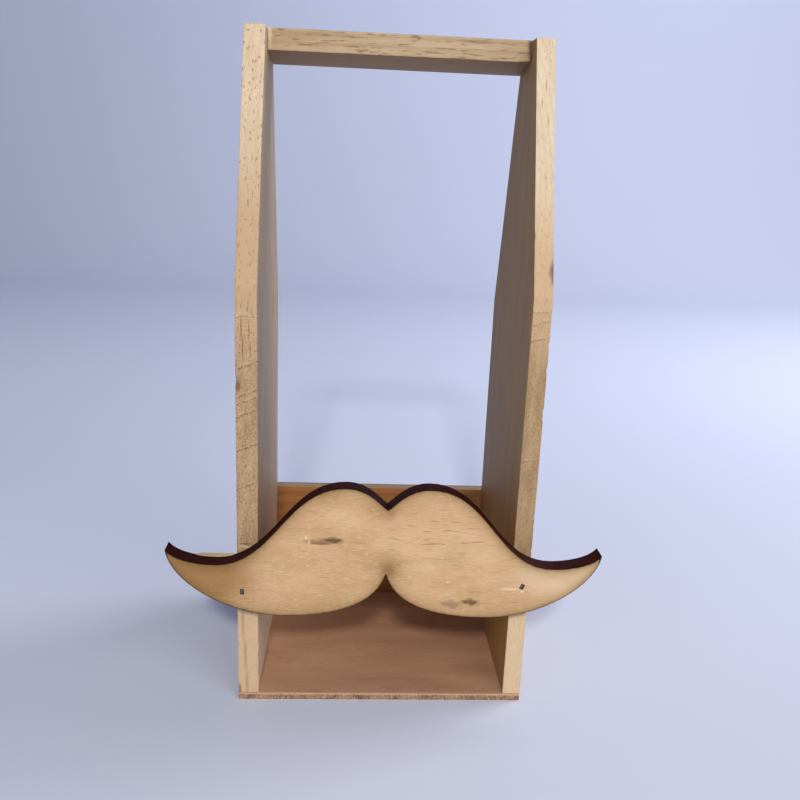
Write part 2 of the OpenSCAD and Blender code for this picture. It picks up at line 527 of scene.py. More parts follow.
@dataclass(frozen=True)
class DarkSteel:
    """Oxidised steel of the brads, with fine scratches."""

    name: str = "dark steel"

    def material(self) -> bpy.types.Material:
        """Builds the material."""
        g = Graph(self.name, 0.5)
        g.shader.inputs["Metallic"].default_value = 0.2
        scratch = g.fleece(Grain.ALONG_X, 6, 0.25)
        rust = g.fleece(Grain.ALONG_X, 1, 0.9, 2, (2, 5, 1))
        colour = g.over("4a3f44", "6c6164", g.step(scratch, 0.4, 0.7))
        colour = g.over(colour, "4a3028", g.step(rust, 0.55, 0.7), 0.5)
        return g.finish(colour, [(scratch, 0.02)], g.varied(scratch, 0.5, 0.7))


@dataclass(frozen=True)
class PaleSheet:
    """The plain pale paper of the floor and the sweep behind the stand."""

    name: str = "pale sweep"
    colour: str = "d6dcf0"

    def material(self) -> bpy.types.Material:
        """Builds the material."""
        g = Graph(self.name, 0.85)
        broad = g.fleece(Grain.ALONG_X, 1, 380, 1)
        fine = g.fleece(Grain.ALONG_X, 1, 1.5, 2)
        shade = g.mix(0.5, self.colour, "a9b4d2")
        colour = g.mix(g.varied(broad, 0.0, 0.16), self.colour, shade)
        return g.finish(colour, [(fine, 0.02)])


# ---- The bench ----


class Workpiece:
    """One piece on the bench: a mesh object that is cut and worn with edit-mode tools."""

    def __init__(self, name: str) -> None:
        """Takes the primitive that has just been added.

        Args:
            name: Name of the piece.
        """
        self.object = bpy.context.active_object
        self.object.name = name
        self.object.data.name = name
        bpy.ops.object.transform_apply(location=True, rotation=True, scale=True)

    @classmethod
    def block(cls, name: str, low: Vector, high: Vector) -> "Workpiece":
        """Adds a block between two corners.

        Args:
            name: Name of the piece.
            low: Lowest corner.
            high: Highest corner.

        Returns:
            The new piece.
        """
        bpy.ops.object.select_all(action="DESELECT")
        middle = (low + high) / 2
        bpy.ops.mesh.primitive_cube_add(size=1, location=middle, scale=high - low)
        return cls(name)

    @classmethod
    def cut_out(cls, name: str, outline: list[Vector]) -> "Workpiece":
        """Adds a flat face with that outline.

        Args:
            name: Name of the piece.
            outline: Corners in order.

        Returns:
            The new piece.
        """
        bpy.ops.object.select_all(action="DESELECT")
        bpy.ops.mesh.primitive_circle_add(vertices=len(outline), radius=1, fill_type="NGON")
        piece = cls(name)
        for vertex, corner in zip(piece.object.data.vertices, outline):
            vertex.co = corner
        piece.object.data.update()
        return piece

    def activate(self) -> None:
        """Makes this piece the one that the tools work on."""
        bpy.ops.object.select_all(action="DESELECT")
        self.object.select_set(True)
        bpy.context.view_layer.objects.active = self.object

    @contextmanager
    def editing(self, mode: str = "FACE") -> Iterator[None]:
        """Opens the piece in edit mode, with nothing else selected.

        Args:
            mode: VERT, EDGE or FACE, what is selected.
        """
        self.activate()
        bpy.ops.object.mode_set(mode="EDIT")
        bpy.ops.mesh.select_mode(type=mode)
        yield
        bpy.ops.object.mode_set(mode="OBJECT")

    def trim(self, point: Vector, outward: Vector | Place) -> None:
        """Saws off what lies outside a plane and closes the cut."""
        with self.editing():
            bpy.ops.mesh.select_all(action="SELECT")
            bpy.ops.mesh.bisect(plane_co=point, plane_no=outward, clear_outer=True,
                                use_fill=True, threshold=TINY)

    def scribe(self, point: Vector, inward: Vector, depths: list[float]) -> None:
        """Adds rings of edges at those depths behind a plane, along its unit normal."""
        with self.editing():
            for depth in depths:
                bpy.ops.mesh.select_all(action="SELECT")
                bpy.ops.mesh.bisect(plane_co=point + inward * depth, plane_no=inward,
                                    threshold=TINY)

    def score(self, axis: Vector, places: list[float]) -> None:
        """Adds a ring of edges where each plane across the axis meets the piece."""
        self.scribe(Vector((0, 0, 0)), axis, places)

    def round_edges(self, width: float, segments: int,
                    test: Callable[[Vector, Vector, float], bool]) -> None:
        """Rounds the edges whose middle, direction and fold angle pass the test."""
        with self.editing("EDGE"):
            mesh = bmesh.from_edit_mesh(self.object.data)
            for edge in mesh.edges:
                edge.select_set(False)
            for edge in mesh.edges:
                a, b = (vertex.co for vertex in edge.verts)
                if test((a + b) / 2, (b - a).normalized(), edge.calc_face_angle(0.0)):
                    edge.select_set(True)
            bmesh.update_edit_mesh(self.object.data)
            bpy.ops.mesh.bevel(offset=width, segments=segments, profile=0.5,
                               affect="EDGES", clamp_overlap=True)

    def press(self, name: str, depth: float, share: Callable[[Vector], float]) -> None:
        """Presses the surface inwards, by a share of depth at each vertex.

        Args:
            name: Name of the vertex group that holds the shares.
            depth: The deepest that the surface goes.
            share: Gives each vertex's share, from 0 to 1.
        """
        group = self.object.vertex_groups.new(name=name)
        for vertex in self.object.data.vertices:
            weight = share(vertex.co)
            if weight > 0:
                group.add([vertex.index], min(weight, 1.0), "REPLACE")
        wear = self.object.modifiers.new(name, "DISPLACE")
        wear.vertex_group = name
        wear.mid_level = 0.0
        wear.strength = -depth
        self.apply(wear)
        self.object.vertex_groups.remove(self.object.vertex_groups[name])

    def apply(self, modifier: bpy.types.Modifier) -> None:
        """Applies one modifier."""
        self.activate()
        bpy.ops.object.modifier_apply(modifier=modifier.name)

    def pocket(self, cutter: "Workpiece") -> None:
        """Cuts another piece's shape out of this one and discards it."""
        carve = self.object.modifiers.new("pocket", "BOOLEAN")
        carve.operation = "DIFFERENCE"
        carve.solver = "EXACT"
        carve.object = cutter.object
        self.apply(carve)
        bpy.data.objects.remove(cutter.object, do_unlink=True)

    def smooth(self, angle: float = 35) -> None:
        """Shades the piece smooth, apart from folds sharper than angle degrees."""
        self.activate()
        bpy.ops.object.shade_smooth_by_angle(angle=math.radians(angle))

    def dress(self, coats: list[bpy.types.Material],
              choose: Callable[[Vector, Vector], int]) -> None:
        """Gives each face one of the coats.

        Args:
            coats: The materials.
            choose: Gives a face's coat number from its middle and normal.
        """
        for coat in coats:
            self.object.data.materials.append(coat)
        for face in self.object.data.polygons:
            face.material_index = choose(face.center, face.normal)

    def hand_over(self, slot: str, node: str | None = None) -> None:
        """Sets the piece in the frame.

        Args:
            slot: The record's material slot; not used.
            node: The CAD node that the piece stands for, if there is one.
        """
        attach(self.object, "root")
        if node is not None:
            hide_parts(node)
        LOG.info("%s: %d faces", self.object.name, len(self.object.data.polygons))


X_AXIS = Vector((1, 0, 0))
Y_AXIS = Vector((0, 1, 0))
Z_AXIS = Vector((0, 0, 1))


def paces(start: float, end: float, gap: float) -> list[float]:
    """Places between start and end, both left out, about gap apart."""
    count = max(int(round((end - start) / gap)), 1)
    return [start + (end - start) * i / count for i in range(1, count)]


def head_pocket(place: Vector, turn: Matrix) -> Workpiece:
    """Makes the cutter for one brad head's pocket.

    Args:
        place: Middle of the head's pocket, on the board's surface.
        turn: Turns a head that lies across X and faces +Z.

    Returns:
        The cutter.
    """
    half = Vector((1.3, 0.9, 1.0)) * MM
    low = Vector((-half.x, -half.y, -POCKET_DEPTH))
    cutter = Workpiece.block("cutter", low, half)
    cutter.object.data.transform(Matrix.Translation(place) @ turn.to_4x4())
    return cutter


# ---- The stand's own pieces ----


@dataclass
class SideBoard:
    """A pine side board whose front and rear edges lean in towards its top."""

    node: str
    outer: float
    seed: float
    corner_round: float
    ridge: float
    coats: list[bpy.types.Material]
    front_bend: float = 188 * MM
    rear_bend: float = 174 * MM
    top_front: float = -16.5 * MM
    top_rear: float = 13.5 * MM
    saw_depth: float = 0.25 * MM
    chip_depth: float = 0.35 * MM
    ring_gap: float = 1.0 * MM
    brad_reach: float = 6.5
    chips: tuple[tuple[float, float, float], ...] = ()

    def build(self) -> None:
        """Makes the board and sets it in the frame."""
        self.low, self.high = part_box(self.node)
        self.lean = self.top_front - self.low.y
        self.rise = self.high.z - self.front_bend
        self.outer_x = self.low.x if self.outer < 0 else self.high.x
        piece = Workpiece.block(self.node + "_pine", self.low, self.high)
        self.saw_to_shape(piece)
        self.ease_edges(piece)
        self.score(piece)
        self.wear(piece)
        self.cut_pockets(piece)
        piece.smooth()
        piece.dress(self.coats, self.coat_at)
        piece.hand_over("side_pine", self.node)

    def front_at(self, z: float) -> float:
        """The front edge's place at a height."""
        if z < self.front_bend:
            return self.low.y
        share = (z - self.front_bend) / self.rise
        return self.low.y + share * self.lean

    def saw_to_shape(self, piece: Workpiece) -> None:
        """Saws the leaning front and rear edges."""
        piece.trim(Vector((0, self.low.y, self.front_bend)), Vector((0, -self.rise, self.lean)))
        outward = Vector((0, self.high.z - self.rear_bend, self.high.y - self.top_rear))
        piece.trim(Vector((0, self.high.y, self.rear_bend)), outward)

    def ease_edges(self, piece: Workpiece) -> None:
        """Eases the sharp arrises, and the two top corners more."""
        top = self.high.z

        def is_top_corner(at: Vector, way: Vector, fold: float) -> bool:
            return abs(way.y) > 0.9 and at.z > top - 0.5 * MM

        def is_arris(at: Vector, way: Vector, fold: float) -> bool:
            return math.radians(50) < fold < math.radians(110)

        piece.round_edges(self.corner_round, 4, is_top_corner)
        piece.round_edges(0.35 * MM, 2, is_arris)

    def score(self, piece: Workpiece) -> None:
        """Adds the rings of edges that the wear needs."""
        bend = Vector((0, self.low.y, self.front_bend))
        depths = [0.8 * MM, 1.6 * MM, 3 * MM, 6 * MM]
        piece.scribe(bend, Y_AXIS, depths)
        piece.scribe(bend, Vector((0, self.rise, -self.lean)).normalized(), depths)
        piece.score(Z_AXIS, paces(self.low.z + 0.4 * MM, self.high.z - 0.4 * MM, self.ring_gap))
        piece.score(X_AXIS, paces(self.low.x + 0.3 * MM, self.high.x - 0.3 * MM, 1.1 * MM))

    def wear(self, piece: Workpiece) -> None:
        """Roughens the sawn front edge and chips its arrises."""
        off = Vector((self.seed, self.seed * 2, self.seed * 3))
        near = 0.9 * MM

        def sawn(at: Vector) -> float:
            """The front edge below the bend, a little behind the torn ridge."""
            if at.y > self.low.y + 0.25 * MM:
                return 0.0
            at_bend = ease(at.z, self.ridge - 1.6 * MM, self.ridge - 0.4 * MM)
            grit = 0.5 + 0.5 * noise.noise(Vector((at.x * 900, 0, at.z * 500)) + off)
            line = noise.noise(Vector((0, 0, (at.z - at.x * 0.42) * 260)) + off)
            return (0.35 + 0.4 * grit + 0.25 * max(line, 0)) * (1 - at_bend)

        def chipped(at: Vector) -> float:
            """Small dents along the arrises of the front edge."""
            depth = at.y - self.front_at(at.z)
            side = min(at.x - self.low.x, self.high.x - at.x)
            if depth > near or side > near:
                return 0.0
            row = 0 if at.x < self.low.x + 4 * MM else 9
            dent = noise.noise(Vector((row, 0, at.z * 330)) + off)
            return ease(dent, 0.36, 0.7) * (1 - side / near)

        def knocked(at: Vector) -> float:
            """The larger chips, each at a height, with its reach and share."""
            side = abs(at.x - self.outer_x)
            depth = at.y - self.front_at(at.z)
            total = 0.0
            for height, reach, share in self.chips:
                away = math.hypot((at.z - height * MM) / (reach * MM),
                                  max(side, 0) / (1.6 * MM), max(depth, 0) / (2.2 * MM))
                total += share * ease(away, 1.0, 0.3)
            return total

        def planed(at: Vector) -> float:
            """The faint hollows of a planed face."""
            return 0.5 + 0.5 * noise.noise(Vector((at.x * 60, at.y * 60, at.z * 25)) + off)

        piece.press("sawn", self.saw_depth, sawn)
        piece.press("chips", self.chip_depth, chipped)
        if self.chips:
            piece.press("knocks", 1.6 * MM, knocked)
        piece.press("planing", 0.12 * MM, planed)

    def cut_pockets(self, piece: Workpiece) -> None:
        """Cuts the pockets of the rail brads in the outer face."""
        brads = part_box(("left" if self.outer < 0 else "right") + "_rail_brads")
        middle = (brads[0] + brads[1]) / 2
        back = Vector((0, math.cos(RAIL_TILT), -math.sin(RAIL_TILT)))
        tilted = Matrix.Rotation(-RAIL_TILT, 3, "X")
        for side in (-1, 1):
            along = back * side * self.brad_reach * MM
            turn = tilted @ Matrix.Rotation(self.outer * math.pi / 2, 3, "Y")
            place = Vector((self.outer_x, middle.y, middle.z)) + along
            piece.pocket(head_pocket(place, turn))

    def coat_at(self, at: Vector, way: Vector) -> int:
        """Chooses between the inner face, the cut edges, the top end and the outer face."""
        if abs(way.x) > 0.75:
            return 4 if way.x * self.outer > 0 else 0
        if at.y < self.front_at(at.z) + 1.2 * MM:
            return 2 if at.z < self.ridge else 1
        return 3 if at.z > self.high.z - 1 * MM else 1


@dataclass
class TopRail:
    """The pine rail between the tops of the side boards, tilted a little back."""

    coats: list[bpy.types.Material]
    front: float = -9 * MM
    underside: float = 283.8 * MM
    thickness: float = 9.2 * MM
    frayed: float = 1.6 * MM
    top: float = 293 * MM
    rear_slope: Place = (0, 119, 32)

    def build(self) -> None:
        """Makes the rail and sets it in the frame."""
        low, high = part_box("top_rail")
        slack = Vector((0, 1, 1)) * MM
        piece = Workpiece.block("top_rail_pine", low - slack, high + slack)
        up = Vector((0, math.sin(RAIL_TILT), math.cos(RAIL_TILT)))
        back = Vector((0, math.cos(RAIL_TILT), -math.sin(RAIL_TILT)))
        corner = Vector((0, self.front, self.underside))
        piece.trim(corner, -up)
        piece.trim(corner + up * self.thickness, up)
        piece.trim(corner, -back)
        piece.trim(Vector((0, SideBoard.top_rear, self.top)), self.rear_slope)
        piece.round_edges(0.5 * MM, 3, lambda at, way, fold: abs(way.x) > 0.9)
        piece.score(X_AXIS, paces(low.x, high.x, 1.1 * MM))
        for step in paces(0, self.thickness, 1.5 * MM):
            piece.scribe(corner, up, [step])

        def torn(at: Vector) -> float:
            """The ragged lower front arris."""
            below = (at - corner).dot(up)
            behind = (at - corner).dot(back)
            if below > self.frayed or behind > self.frayed:
                return 0.0
            rag = noise.noise(Vector((at.x * 420, 3, 0)))
            rag += 0.5 * noise.noise(Vector((at.x * 1300, 1, 0)))
            return ease(rag, -0.1, 0.7)

        def worn_end(at: Vector) -> float:
            """The lower corner at the right end, slightly knocked off."""
            near = math.hypot(at.x - high.x, (at - corner).dot(up), (at - corner).dot(back))
            return ease(near, 4 * MM, 1 * MM)

        piece.press("torn", 0.4 * MM, torn)
        piece.press("end", 0.8 * MM, worn_end)
        piece.smooth()
        # Coat 0, on the underside, is a darker copy of the pine: painted shade.
        piece.dress(self.coats, lambda at, way: 0 if way.z < -0.7 else 1)
        piece.hand_over("rail_pine", "top_rail")


@dataclass
class BaseBoard:
    """The thin plywood base, with its ragged cut edges."""

    coats: list[bpy.types.Material]
    rag: float = 0.4 * MM

    def build(self) -> None:
        """Makes the board and sets it in the frame."""
        low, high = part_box("base_board")
        piece = Workpiece.block("base_board_ply", low, high)
        piece.round_edges(0.2 * MM, 2, lambda at, way, fold: True)
        piece.score(X_AXIS, paces(low.x, high.x, 0.7 * MM))
        piece.score(Y_AXIS, [low.y + 0.6 * MM, low.y + 1.5 * MM, low.y + 4 * MM])
        piece.score(Y_AXIS, paces(low.y + 4 * MM, high.y, 3 * MM))
        piece.score(Z_AXIS, paces(low.z + 0.2 * MM, high.z - 0.2 * MM, 0.6 * MM))

        def ragged(at: Vector) -> float:
            """Upright splinters and gaps along the cut edges."""
            edge = min(at.x - low.x, high.x - at.x, at.y - low.y, high.y - at.y)
            if edge > 0.3 * MM:
                return 0.0
            run = at.x if min(at.y - low.y, high.y - at.y) < 0.4 * MM else at.y + 1
            tick = noise.noise(Vector((run * 900, 2, at.z * 200)))
            lip = noise.noise(Vector((run * 300, 7, at.z * 500)))
            return 0.35 + 0.5 * tick + 0.4 * lip

        piece.press("ragged", self.rag, ragged)
        piece.smooth(40)
        piece.dress(self.coats, lambda at, way: 0 if abs(way.z) > 0.7 else 1)
        piece.hand_over("base_ply", "base_board")


@dataclass
class BackBoard:
    """The low board that closes the back."""

    coats: list[bpy.types.Material]

    def build(self) -> None:
        """Makes the board and sets it in the frame."""
        low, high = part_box("back_board")
        piece = Workpiece.block("back_board_pine", low, high)
        piece.round_edges(0.5 * MM, 3, lambda at, way, fold: True)
        piece.score(X_AXIS, paces(low.x, high.x, 2.5 * MM))
        piece.score(Z_AXIS, paces(low.z, high.z, 3 * MM))

        def planed(at: Vector) -> float:
            """The faint hollows of a planed face."""
            return 0.5 + 0.5 * noise.noise(Vector((at.x * 20, at.y * 60, at.z * 60)))

        piece.press("planing", 0.2 * MM, planed)
        for side in ("left", "right"):
            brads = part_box(side + "_back_brads")
            middle = (brads[0] + brads[1]) / 2
            turn = Matrix.Rotation(-math.pi / 2, 3, "X") @ Matrix.Rotation(math.pi / 2, 3, "Z")
            for z in (brads[0].z + 1.4 * MM, brads[1].z - 1.4 * MM):
                place = Vector((middle.x, high.y, z))
                piece.pocket(head_pocket(place, turn))
        piece.smooth()
        piece.dress(self.coats, lambda at, way: 1 if abs(way.z) > 0.7 or abs(way.x) > 0.7 else 0)
        piece.hand_over("back_wood", "back_board")


@dataclass
class MoustachePanel:
    """The laser-cut plywood moustache."""

    coats: list[bpy.types.Material]
    drawn_width: float = 190
    curve_steps: int = 22
    tip_blunt: float = 0.8 * MM
    arris: float = 0.15 * MM
    grid: float = 0.8 * MM
    brads: tuple[Place, ...] = ((-61.7, 58.8, 90), (60, 62.8, 65))

    def half_outline(self) -> list[Vector]:
        """Draws the right half, from the upper notch round to the lower one.

        Returns:
            Points with x across and z up from the panel's lowest level.
        """
        notch_top, crest = (0, 50.5), (18, 60)
        trough, tip = (74, 24), (95, 31)
        belly, notch_bottom = (44.5, 0), (0, 20.5)
        curves = (
            (notch_top, (2.5, 52), (8, 60), crest),
            (crest, (44, 60), (48.5, 24), trough),
            (trough, (80, 24), (91.5, 25.5), tip),
            (tip, (93.5, 16), (70, 0), belly),
            (belly, (29.5, 0), (5, 2.5), notch_bottom),
        )
        points = []
        for curve in curves:
            for i in range(self.curve_steps):
                t = i / self.curve_steps
                shares = ((1 - t) ** 3, 3 * (1 - t) ** 2 * t, 3 * (1 - t) * t * t, t ** 3)
                x = sum(s * c[0] for s, c in zip(shares, curve))
                z = sum(s * c[1] for s, c in zip(shares, curve))
                points.append(Vector((x, 0, z)) * self.scale)
        points.append(Vector((0, 0, notch_bottom[1])) * self.scale)
        return points

    def build(self) -> None:
        """Makes the panel and sets it in the frame."""
        low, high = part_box("moustache_panel")
        self.low, self.high = low, high
        self.scale = (high.x - low.x) / self.drawn_width
        half = self.half_outline()
        mirrored = [Vector((-p.x, 0, p.z)) for p in reversed(half[1:-1])]
        self.outline = [p + Vector((0, high.y, low.z)) for p in half + mirrored]
        piece = Workpiece.cut_out("moustache_ply", self.outline)
        with piece.editing("VERT"):
            mesh = bmesh.from_edit_mesh(piece.object.data)
            for vertex in mesh.verts:
                vertex.select_set(abs(vertex.co.x) > high.x - 0.1 * MM)
            bmesh.update_edit_mesh(piece.object.data)
            bpy.ops.mesh.bevel(offset=self.tip_blunt, segments=2, affect="VERTICES")
        with piece.editing():
            bpy.ops.mesh.select_all(action="SELECT")
            bpy.ops.mesh.extrude_region_move(
                TRANSFORM_OT_translate={"value": (0, low.y - high.y, 0)})
            bpy.ops.mesh.select_all(action="SELECT")
            bpy.ops.mesh.normals_make_consistent(inside=False)
        piece.round_edges(self.arris, 1, lambda at, way, fold: abs(way.y) < 0.1 and fold > 1)
        piece.score(Y_AXIS, paces(low.y, high.y, 1.4 * MM))
        piece.score(X_AXIS, paces(low.x + 1 * MM, high.x - 1 * MM, self.grid))
        piece.score(Z_AXIS, paces(low.z, high.z, self.grid))
        self.cut_brad_pockets(piece)
        self.toast(piece)
        piece.smooth(30)
        piece.dress(self.coats, self.coat_at)
        piece.hand_over("moustache_ply", "moustache_panel")

    def cut_brad_pockets(self, piece: Workpiece) -> None:
        """Cuts the pockets of the two brads in the face."""
        upright = Matrix.Rotation(math.pi / 2, 3, "X")
        for x, z, turn in self.brads:
            place = Vector((x * MM, self.low.y, z * MM))
            across = upright @ Matrix.Rotation(math.radians(turn), 3, "Z")
            piece.pocket(head_pocket(place, across))

    def toast(self, piece: Workpiece) -> None:
        """Stores how far the laser's heat has browned each vertex of the faces."""
        mesh = piece.object.data
        spots = np.array([(v.co.x, v.co.z) for v in mesh.vertices]) / MM
        ring = np.array([(p.x, p.z) for p in self.outline]) / MM
        nearest = np.full(len(spots), 1e9)
        for a, d in zip(ring, np.roll(ring, -1, axis=0) - ring):
            t = np.clip(((spots - a) @ d) / max(d @ d, 1e-9), 0, 1)
            nearest = np.minimum(nearest, np.hypot(*(spots - a - t[:, None] * d).T))
        x, z = spots[:, 0], spots[:, 1]
        floor = self.low.z / MM
        upper = np.clip((z - floor - 14) / 10, 0, 1)
        wing = np.clip((np.abs(x) - 42) / 25, 0, 1)
        width = 1.3 + 0.3 * upper + wing * np.where(x < 0, 1.4, 0.4)
        burn = 0.64 * np.exp(-(nearest / width) ** 1.1) + 0.16 * (nearest < 0.3)
        burn += 0.2 * np.exp(-(nearest / 6.5) ** 2)
        for height, reach, strength in ((49.0, 3.0, 0.55), (21.5, 4.6, 0.72)):
            away = np.hypot(x - 1.0, (z - floor - height) * 0.8)
            burn = np.maximum(burn, strength * np.exp(-(away / reach) ** 2))
        layer = mesh.attributes.new("toast", "FLOAT", "POINT")
        layer.data.foreach_set("value", np.clip(burn, 0, 1).astype(np.float32))

    def coat_at(self, at: Vector, way: Vector) -> int:
        """Chooses between the veneered faces and the burnt edge."""
        in_pocket = self.low.y + 0.2 * MM < at.y < self.low.y + 1.3 * MM and way.y < -0.9
        return 0 if abs(way.y) > 0.8 or in_pocket else 1


@dataclass
class TornVeneer:
    """The straight sliver of rear veneer that stands above the left wing's burnt edge."""

    coats: list[bpy.types.Material]
    left: float = -82.5 * MM
    right: float = -65.2 * MM
    top: float = 73.0 * MM
    thickness: float = 0.7 * MM
    inset: float = 0.08 * MM

    def build(self) -> None:
        """Makes the sliver and sets it in the frame, a hair inside the panel's rear face."""
        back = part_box("moustache_panel")[1].y - self.inset
        low = Vector((self.left, back - self.thickness, self.top - 4 * MM))
        high = Vector((self.right, back, self.top))
        piece = Workpiece.block("rear_veneer_sliver", low, high)
        piece.trim(Vector((self.left, 0, self.top - 0.6 * MM)), Vector((-0.3, 0, 1)))
        piece.score(X_AXIS, paces(low.x, high.x, 0.6 * MM))
        piece.score(Z_AXIS, paces(low.z, high.z, 0.5 * MM))

        def frayed(at: Vector) -> float:
            """The torn upper edge."""
            if at.z < self.top - 0.8 * MM:
                return 0.0
            return 0.5 + 0.9 * noise.noise(Vector((at.x * 1100, 4, 0)))

        piece.press("frayed", 0.35 * MM, frayed)
        piece.smooth()
        piece.dress(self.coats, lambda at, way: 0)
        piece.hand_over("moustache_ply")


@dataclass
class Brads:
    """The brads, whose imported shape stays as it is."""

    coat: bpy.types.Material

    def dress(self) -> None:
        """Gives every brad its coat."""
        for name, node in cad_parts.items():
            if name.endswith("_brads"):
                node.data.materials.clear()
                node.data.materials.append(self.coat)
                LOG.info("%s: dressed", name)


# ---- The studio ----


@dataclass
class Studio:
    """The pale sweep, the soft lights and the camera."""

    coat: bpy.types.Material
    half_width: float = 4.0
    sweep_start: float = 1.3
    sweep_radius: float = 0.8
    wall_top: float = 3.0

    def build(self) -> None:
        """Sets up the whole studio."""
        self.lay_sweep()
        self.hang_lights()
        self.set_camera()

    def lay_sweep(self) -> None:
        """Lays the floor and curves its rear edge up into a wall."""
        bpy.ops.object.select_all(action="DESELECT")
        middle = (0, (self.sweep_start - self.half_width) / 2, 0)
        bpy.ops.mesh.primitive_plane_add(size=1, location=middle)
        sweep = bpy.context.active_object
        sweep.name = "sweep"
        sweep.scale = (2 * self.half_width, self.sweep_start + self.half_width, 1)
        bpy.ops.object.transform_apply(location=True, rotation=True, scale=True)
        bpy.ops.object.mode_set(mode="EDIT")
        bpy.ops.mesh.select_mode(type="EDGE")
        mesh = bmesh.from_edit_mesh(sweep.data)
        for face in mesh.faces:
            face.select_set(False)
        for edge in mesh.edges:
            edge.select_set(all(v.co.y > self.sweep_start - 0.01 for v in edge.verts))
        bmesh.update_edit_mesh(sweep.data)

        def extrude(move: Place) -> None:
            """Draws the sheet's rear edge on by that much."""
            bpy.ops.mesh.extrude_edges_move(TRANSFORM_OT_translate={"value": move})

        steps = 24
        for i in range(steps):
            a, b = (math.pi / 2 * k / steps for k in (i, i + 1))
            forward = self.sweep_radius * (math.sin(b) - math.sin(a))
            upward = self.sweep_radius * (math.cos(a) - math.cos(b))
            extrude((0, forward, upward))
        extrude((0, 0, self.wall_top))
        bpy.ops.mesh.select_all(action="SELECT")
        bpy.ops.mesh.normals_make_consistent(inside=False)
        bpy.ops.object.mode_set(mode="OBJECT")
        bpy.ops.object.shade_smooth()
        sweep.data.materials.append(self.coat)

    def lamp(self, name: str, place: Place, aim: Place, size: float, power: float,
             colour: str) -> None:
        """Hangs one soft square light.

        Args:
            name: Name of the light.
            place: Where it hangs.
            aim: The point that it faces.
            size: Length of its side.
            power: Watts.
            colour: Web colour of the light.
        """
        light = bpy.data.lights.new(name, "AREA")
        light.shape = "SQUARE"
        light.size = size
        light.energy = power
        light.color = tint(colour)[:3]
        lamp = bpy.data.objects.new(name, light)
        lamp.visible_camera = False
        bpy.context.collection.objects.link(lamp)
        lamp.location = place
        lamp.rotation_euler = (Vector(aim) - Vector(place)).to_track_quat("-Z", "Y").to_euler()

    def hang_lights(self) -> None:
        """Hangs the four lights and sets the pale surroundings."""
        self.lamp("front", (-0.08, -1.6, 1.17), (0, 0, 0.14), 0.16, 18, "fffaf0")
        self.lamp("window", (0.95, -1.35, 0.95), (0, 0, 0.14), 1.2, 10, "fffaf4")
        self.lamp("fill", (-1.1, -1.2, 0.7), (0, 0, 0.12), 1.2, 3.5, "f2f4ff")
        self.lamp("backdrop", (1.05, 0.4, 1.0), (0.35, 1.8, 0.0), 1.0, 17.5, "f8f8ff")
        world = bpy.data.worlds.new("surroundings")
        world.use_nodes = True
        back = world.node_tree.nodes["Background"]
        back.inputs["Color"].default_value = tint("c9d4f0")
        back.inputs["Strength"].default_value = 0.22
        bpy.context.scene.world = world
        bpy.context.scene.view_settings.view_transform = "Standard"

    def set_camera(self) -> None:
        """Stands the camera in front, a little above and to the left of the middle."""
        yaw, pitch, roll = (math.radians(a) for a in (3.482, 14.895, 2.361))
        forward = Vector((math.sin(yaw) * math.cos(pitch), math.cos(yaw) * math.cos(pitch),
                          -math.sin(pitch)))
        level = Vector((math.cos(yaw), -math.sin(yaw), 0))
        rise = level.cross(forward)
        right = level * math.cos(roll) + rise * math.sin(roll)
        up = rise * math.cos(roll) - level * math.sin(roll)
        lens = bpy.data.cameras.new("camera")
        lens.lens = 38.31
        lens.sensor_width = 36
        lens.clip_start = 0.01
        camera = bpy.data.objects.new("camera", lens)
        bpy.context.collection.objects.link(camera)
        turned = Matrix((right, up, -forward)).transposed().to_4x4()
        camera.matrix_world = Matrix.Translation((-0.01741, -0.39663, 0.23567)) @ turned
        bpy.context.scene.camera = camera


